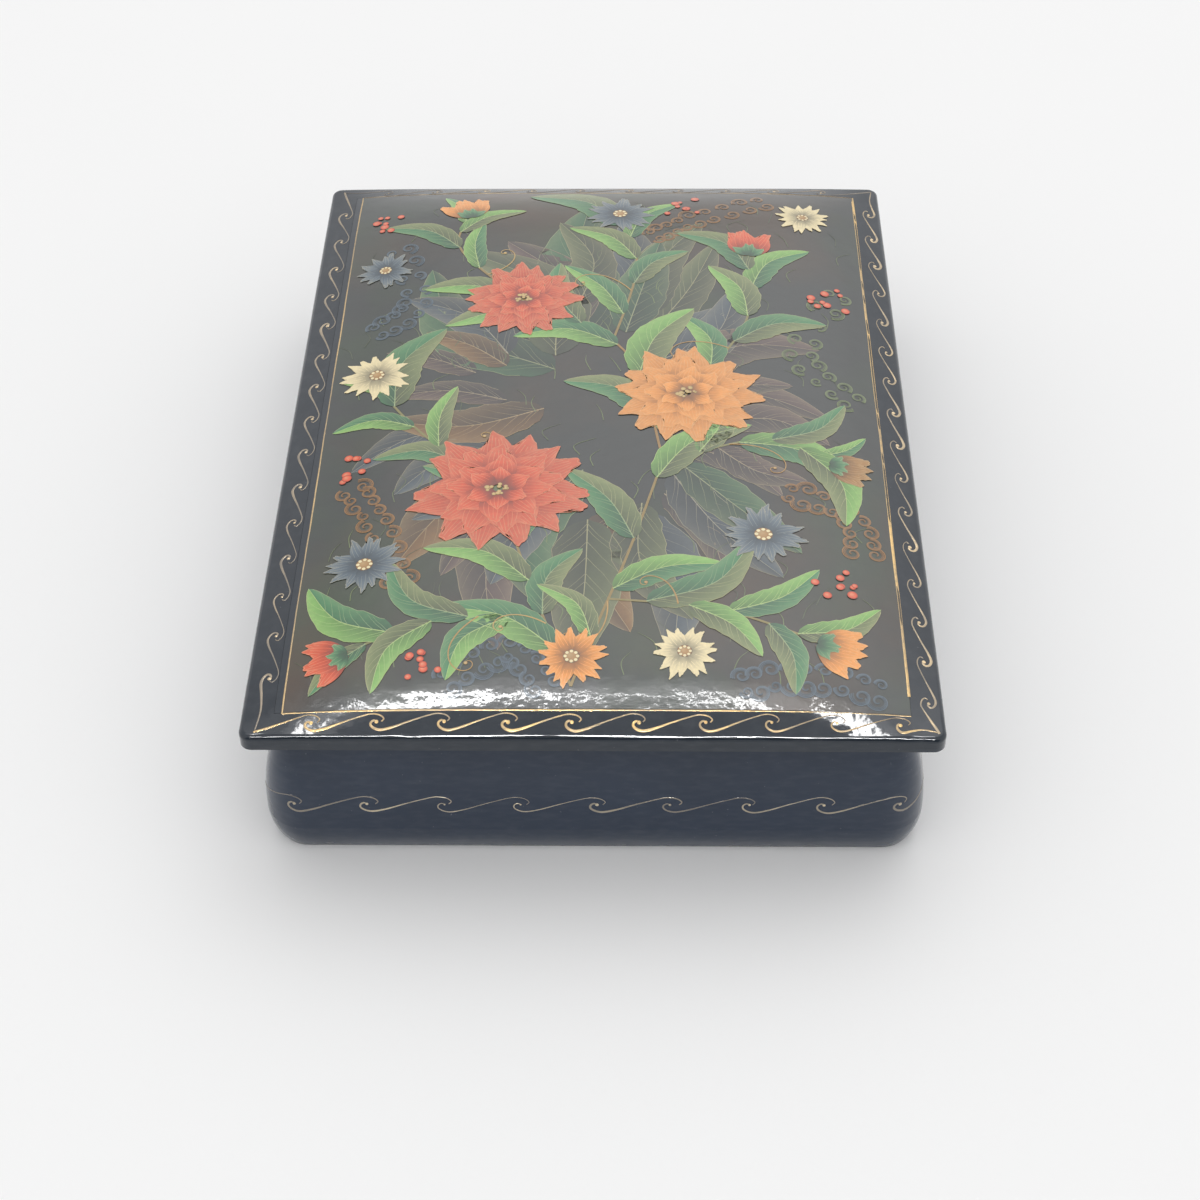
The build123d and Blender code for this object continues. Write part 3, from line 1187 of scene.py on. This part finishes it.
# Far leaves: how far from the middle their rim is, where roots and tips lie as shares of that way,
# bow and half width as shares of the length, and the ground's share in the near and the far half
FAR_LEAVES = 39
FAR_PIGMENTS = ("olive", "mauve", "slate", "clay", "emerald")
FAR_REACH = (40, 58)
FAR_ROOT = (0.2, 0.55)
FAR_TIP = (0.78, 1.0)
FAR_BOW = (-0.22, 0.22)
FAR_HALF = (0.14, 0.2)
FAR_SHARES = (0.5, 0.75)
# Grass: where blades stand, across and along, and the share of the ground in their colour
GRASS_BLADES = 160
GRASS_ACROSS = (-41, 41)
GRASS_ALONG = (-60, 55)
GRASS_SHARE = (0.1, 0.8)
# A blade's half width at its root, then its sway, height and half width further up
GRASS_ROOT = 0.07
GRASS_POINTS = ((1, 2.2, 0.06), (3, 4, 0.02))
GRASS_STEPS = 4
# Layers of paint below each part of the picture
FAR_LEAF_LAYER = 4
GRASS_LAYER = 10
CLOUD_LAYER = 11
STEM_LAYER = 15
LEAF_LAYER = 16
TENDRIL_LAYER = 23
FLOWER_LAYER = 25
PEONY_LAYER = 31


def stem_line(points, per_span):
    """A stem's smooth line with its half width, in metres."""
    return smooth_line([(x * MM, y * MM, STEM_HALF * MM) for x, y in points], per_span)


class PictureGround(Operator):
    """Glaze the sheet and paint the dim leaves, clouds and grass at the back of the picture"""

    bl_idname = "lacquer_box.picture_ground"
    bl_label = "Picture Ground"

    def execute(self, context):
        dress("picture_sheet", varnished_tempera("tempera_ground", ground_pigment))
        rng = random.Random(f"{sizes().seed} ground")
        paint = Paint(lid_canvas())
        self.paint_leaves(paint, rng)
        self.paint_grass(paint, rng)
        self.paint_clouds(paint, rng)
        picture_layer(paint, "far_leaves")
        return {"FINISHED"}

    def paint_leaves(self, paint, rng):
        """Dim leaves all round, pointing out from the middle."""
        palette = colours()
        across, along = FAR_REACH
        for k in range(FAR_LEAVES):
            turn = math.tau * (k + rng.uniform(-0.3, 0.3)) / FAR_LEAVES
            rim = Vector((across * math.cos(turn), along * math.sin(turn)))
            root = rim * rng.uniform(*FAR_ROOT) * MM
            tip = rim * rng.uniform(*FAR_TIP) * MM
            body = getattr(palette, rng.choice(FAR_PIGMENTS))
            bow = rng.uniform(*FAR_BOW)
            half_width = (tip - root).length * rng.uniform(*FAR_HALF)
            near, far = (shades(mix(body, palette.ground, share)) for share in FAR_SHARES)
            lift = sizes().paint_layer * (FAR_LEAF_LAYER + 2 * (k % 3))
            leaf(paint, rng, root, tip, bow, half_width, near, far, lift)

    def paint_grass(self, paint, rng):
        """Thin blades, scattered over the ground."""
        palette = colours()
        for _ in range(GRASS_BLADES):
            x, y = rng.uniform(*GRASS_ACROSS), rng.uniform(*GRASS_ALONG)
            points = [(x * MM, y * MM, GRASS_ROOT * MM)]
            for sway, height, half in GRASS_POINTS:
                points.append(((x + rng.uniform(-sway, sway)) * MM, (y + height) * MM, half * MM))
            pigment = mix(palette.olive, palette.ground, rng.uniform(*GRASS_SHARE))
            line = [(a, b, half, pigment) for a, b, half in smooth_line(points, GRASS_STEPS)]
            brush(paint, line, sizes().paint_layer * GRASS_LAYER)

    def paint_clouds(self, paint, rng):
        """Bands of scrolls, three lines to each scroll."""
        palette = colours()
        for (x, y, pigment), middle, end in CLOUDS:
            path = stem_line(((x, y), middle, end), CLOUD_STEPS)
            body = getattr(palette, pigment)
            tones = [mix(body, palette.ground, share) for share in SCROLL_SHARES]
            for k in range(1, len(path) - 1):
                heading = heading_of(path[k - 1], path[k + 1])
                lift = sizes().paint_layer * (CLOUD_LAYER + k % 3)
                for row in (-1, 1):
                    radius = rng.uniform(*SCROLL_RADIUS) * MM
                    spot = Vector(path[k][:2]) + pointing(heading + row * math.pi / 2) * radius
                    for turn, tone in enumerate(tones):
                        start = heading + math.pi + row * SCROLL_TWIST * turn
                        size = radius * (1 - SCROLL_SHRINK * turn)
                        scroll(paint, spot, start, size, -row, tone, lift)


class PictureLeaves(Operator):
    """Paint the stems, leaves and tendrils of the bouquet"""

    bl_idname = "lacquer_box.picture_leaves"
    bl_label = "Picture Leaves"

    def execute(self, context):
        palette = colours()
        rng = random.Random(f"{sizes().seed} leaves")
        layer = sizes().paint_layer
        paint = Paint(lid_canvas())
        grown = 0
        for points in STEMS:
            line = stem_line(points, STEM_STEPS)
            stem = mix(palette.clay, palette.olive, rng.random())
            brush(paint, [(a, b, half, stem) for a, b, half in line], layer * STEM_LAYER)
            for i, hand in LEAF_PLACES:
                root = Vector(line[i][:2])
                heading = heading_of(line[i - 1], line[i + 1]) + hand * rng.uniform(*LEAF_TURN)
                tip = root + pointing(heading) * rng.uniform(*LEAF_LENGTH) * MM
                for axis, reach in enumerate(BOUQUET_REACH):
                    tip[axis] = max(-reach * MM, min(reach * MM, tip[axis]))
                bow = -hand * rng.uniform(*LEAF_BOW)
                half_width = (tip - root).length * rng.uniform(*LEAF_HALF)
                near, far = (shades(getattr(palette, name)) for name in LEAF_PAIRS[grown % 3])
                lift = layer * (LEAF_LAYER + 2 * (grown % 3))
                leaf(paint, rng, root, tip, bow, half_width, near, far, lift)
                grown += 1
            heading = rng.uniform(0, math.tau)
            reach = rng.uniform(*TENDRIL_LENGTH) * MM
            pigment = mix(palette.line_gold, palette.clay, rng.uniform(0.1, 0.8))
            root = line[TENDRIL_PLACE][:2]
            tendril(paint, rng, root, heading, reach, pigment, layer * TENDRIL_LAYER)
        picture_layer(paint, "leaves")
        return {"FINISHED"}


class PictureFlowers(Operator):
    """Paint the flowers, buds and berries of the bouquet"""

    bl_idname = "lacquer_box.picture_flowers"
    bl_label = "Picture Flowers"

    def execute(self, context):
        palette = colours()
        rng = random.Random(f"{sizes().seed} flowers")
        layer = sizes().paint_layer
        lift = layer * FLOWER_LAYER
        paint = Paint(lid_canvas())
        for x, y, radius, pigment in DAISIES:
            daisy(paint, rng, Vector((x, y)) * MM, radius * MM, getattr(palette, pigment), lift)
        for x, y, degrees, radius, pigment in BUDS:
            heading = math.radians(degrees)
            bud(paint, rng, Vector((x, y)) * MM, heading, radius * MM, getattr(palette, pigment), lift)
        berry = shades(palette.coral)
        for bunch in BERRIES:
            for k in range(BERRIES_IN_BUNCH):
                spot = Vector([place + rng.uniform(-BUNCH_REACH, BUNCH_REACH) for place in bunch]) * MM
                dot(paint, spot, rng.uniform(*BERRY_RADIUS) * MM, berry, lift + k * layer, layer)
        lift = layer * PEONY_LAYER
        for x, y, radius, pigment in PEONIES:
            peony(paint, rng, Vector((x, y)) * MM, radius * MM, getattr(palette, pigment), lift)
        picture_layer(paint, "flowers")
        return {"FINISHED"}


# Stage

# Half the side of the table, in metres, and how far its face lies below the box's foot
TABLE_REACH = 2.5
TABLE_DROP = 0.05 * MM
# Light, from 0 to white: the room, and what the gloss shows of the room's dark side in front of the box
ROOM_LIGHT = 0.88
FRONT_DARK = 0.15
# Where the dark side ends, by the share of a direction that points to the back
FRONT_END = (-0.7, -0.6)
# Lamps: place, target, width, depth, turn, brightness and grid
BACK_SOFTBOX = ((220, 810, 1240), (0, 0, 0), 1700, 1700, 0, 1.45, 64)
EDGE_STRIP = ((0, -200, 180), (0, -66, 26), 210, 10, 0, 200, 36)
# Strip lamps hang overhead and face the front of the lid, which shows them this much smaller
STRIP_HEIGHT = 640
STRIP_AIM = (-58, 28)
STRIP_SHRINK = 0.27
# They make the broken white line across the front of the lid: ends, depth, brightness and grid
STRIPS = {
    "left_corner_strip": ((-185, 140), (-160, 86), 8, 32, 24),
    "left_strip": ((-165, 82), (-40, 82), 30, 34, 30),
    "middle_strip": ((-40, 84), (44, 84), 9, 28, 24),
    "right_strip": ((44, 84), (122, 28), 16, 34, 24),
    "right_corner_strip": ((122, 28), (150, 120), 14, 34, 24),
    "glow_strip": ((-230, 90), (150, 90), 75, 1.9, 80),
    "wide_strip": ((-330, 95), (230, 95), 150, 1.4, 80),
}


def gridded_lamp(name, place, target, width, depth, turn, brightness, grid):
    """A rectangular lamp that faces target, behind a grid that opens by this angle.

    Lengths are in millimetres, angles in degrees, and straight ahead a brightness of 1 is white.
    """
    lamp = bpy.data.lights.new(name, "AREA")
    lamp.shape = "RECTANGLE"
    lamp.size, lamp.size_y = width * MM, depth * MM
    lamp.spread = math.radians(grid)
    half = lamp.spread / 2
    lamp.energy = brightness * math.pi * lamp.size * lamp.size_y * (1 - half / math.tan(half))
    holder = bpy.data.objects.new(name, lamp)
    holder.location = Vector(place) * MM
    tilt = Vector((0, 0, -1)).rotation_difference(Vector(target) - Vector(place))
    holder.rotation_euler = (tilt.to_matrix() @ Matrix.Rotation(math.radians(turn), 3, "Z")).to_euler()
    bpy.context.scene.collection.objects.link(holder)
    return holder


class Stage(Operator):
    """Add the table top, the soft light and the camera"""

    bl_idname = "lacquer_box.stage"
    bl_label = "Stage"

    def execute(self, context):
        self.add_table()
        self.add_room()
        self.add_lamps()
        self.add_camera()
        return {"FINISHED"}

    def add_table(self):
        """A wide pale board that the box stands on."""
        reach = TABLE_REACH
        corners = [(-reach, -reach, 0), (reach, -reach, 0), (reach, reach, 0), (-reach, reach, 0)]
        mesh = bpy.data.meshes.new("table_top")
        mesh.from_pydata(corners, [], [(0, 1, 2, 3)])
        mesh.materials.append(white_board("white_board"))
        board = bpy.data.objects.new("table_top", mesh)
        board.location.z = -TABLE_DROP
        bpy.context.scene.collection.objects.link(board)

    def add_room(self):
        """A white room, whose front the gloss shows dark."""
        world = bpy.data.worlds.new("white_room")
        bpy.context.scene.world = world
        world.use_nodes = True
        tree = world.node_tree
        path = add_node(tree, "ShaderNodeLightPath").outputs
        towards = add_node(tree, "ShaderNodeTexCoord").outputs["Generated"]
        parts = add_node(tree, "ShaderNodeSeparateXYZ", {"Vector": towards})
        dim = add_node(tree, "ShaderNodeMapRange", {
            "Value": parts.outputs["Y"], "From Min": FRONT_END[0], "From Max": FRONT_END[1],
            "To Min": FRONT_DARK, "To Max": 1.0,
        })
        lit = add_node(tree, "ShaderNodeMix", {
            0: path["Is Glossy Ray"], 2: ROOM_LIGHT, 3: dim.outputs["Result"],
        }, data_type="FLOAT")
        seen = add_node(tree, "ShaderNodeMath", {
            0: path["Is Camera Ray"], 1: path["Is Transmission Ray"],
        }, operation="MAXIMUM")
        strength = add_node(tree, "ShaderNodeMix", {
            0: seen.outputs[0], 2: lit.outputs[0], 3: 1.0,
        }, data_type="FLOAT")
        room = tree.nodes["Background"]
        room.inputs["Color"].default_value = (*WHITE, 1)
        tree.links.new(strength.outputs[0], room.inputs["Strength"])

    def add_lamps(self):
        """A gridded softbox behind the box, and strip lamps that only the gloss shows."""
        gridded_lamp("back_softbox", *BACK_SOFTBOX)
        lamps = [gridded_lamp("edge_strip", *EDGE_STRIP)]
        for name, (start, end, depth, brightness, grid) in STRIPS.items():
            way = Vector(end) - Vector(start)
            middle = Vector(start) + way / 2
            target = (middle.x * STRIP_SHRINK, *STRIP_AIM)
            turn = math.degrees(math.atan2(way.y, way.x))
            lamps.append(gridded_lamp(
                name, (*middle, STRIP_HEIGHT), target, way.length, depth, turn, brightness, grid
            ))
        for lamp in lamps:
            lamp.visible_diffuse = False

    def add_camera(self):
        """The photograph's viewpoint."""
        pitch, yaw, roll = (math.radians(angle) for angle in (CAMERA_PITCH, CAMERA_YAW, CAMERA_ROLL))
        level = Vector((math.sin(yaw), math.cos(yaw), 0)) * math.cos(pitch)
        forward = level - Vector((0, 0, math.sin(pitch)))
        right = Vector((math.cos(yaw), -math.sin(yaw), 0))
        down = forward.cross(right)
        facing = Matrix((right, -down, -forward)).transposed().to_4x4()
        data = bpy.data.cameras.new("camera")
        data.lens = CAMERA_LENS
        data.sensor_width = CAMERA_SENSOR
        data.clip_start = 10 * MM
        camera = bpy.data.objects.new("camera", data)
        place = Matrix.Translation(Vector(CAMERA_PLACE) * MM)
        camera.matrix_world = place @ facing @ Matrix.Rotation(-roll, 4, "Z")
        bpy.context.scene.collection.objects.link(camera)
        bpy.context.scene.camera = camera
        bpy.context.scene.view_settings.view_transform = "Standard"


STEPS = (Lacquer, LidWaves, FrameLine, WallWaves, PictureGround, PictureLeaves, PictureFlowers, Stage)


class LacquerBoxPanel(Panel):
    """Lists the steps of the finish, with the sizes and colours"""

    bl_idname = "VIEW3D_PT_lacquer_box"
    bl_label = "Lacquer Box"
    bl_space_type = "VIEW_3D"
    bl_region_type = "UI"
    bl_category = "Lacquer Box"

    def draw(self, context):
        for group in (context.scene.lacquer_box_sizes, context.scene.lacquer_box_colours):
            column = self.layout.column(align=True)
            for name in group.__annotations__:
                column.prop(group, name)
        for step in STEPS:
            self.layout.operator(step.bl_idname)


CLASSES = (LacquerBoxColours, LacquerBoxSizes, *STEPS, LacquerBoxPanel)


def register():
    for cls in CLASSES:
        bpy.utils.register_class(cls)
    bpy.types.Scene.lacquer_box_colours = PointerProperty(type=LacquerBoxColours)
    bpy.types.Scene.lacquer_box_sizes = PointerProperty(type=LacquerBoxSizes)


def unregister():
    del bpy.types.Scene.lacquer_box_sizes
    del bpy.types.Scene.lacquer_box_colours
    for cls in reversed(CLASSES):
        bpy.utils.unregister_class(cls)


def main():
    """Runs every step in order."""
    register()
    bpy.ops.lacquer_box.lacquer()
    bpy.ops.lacquer_box.lid_waves()
    bpy.ops.lacquer_box.frame_line()
    bpy.ops.lacquer_box.wall_waves()
    bpy.ops.lacquer_box.picture_ground()
    bpy.ops.lacquer_box.picture_leaves()
    bpy.ops.lacquer_box.picture_flowers()
    bpy.ops.lacquer_box.stage()


if __name__ == "__main__":
    main()
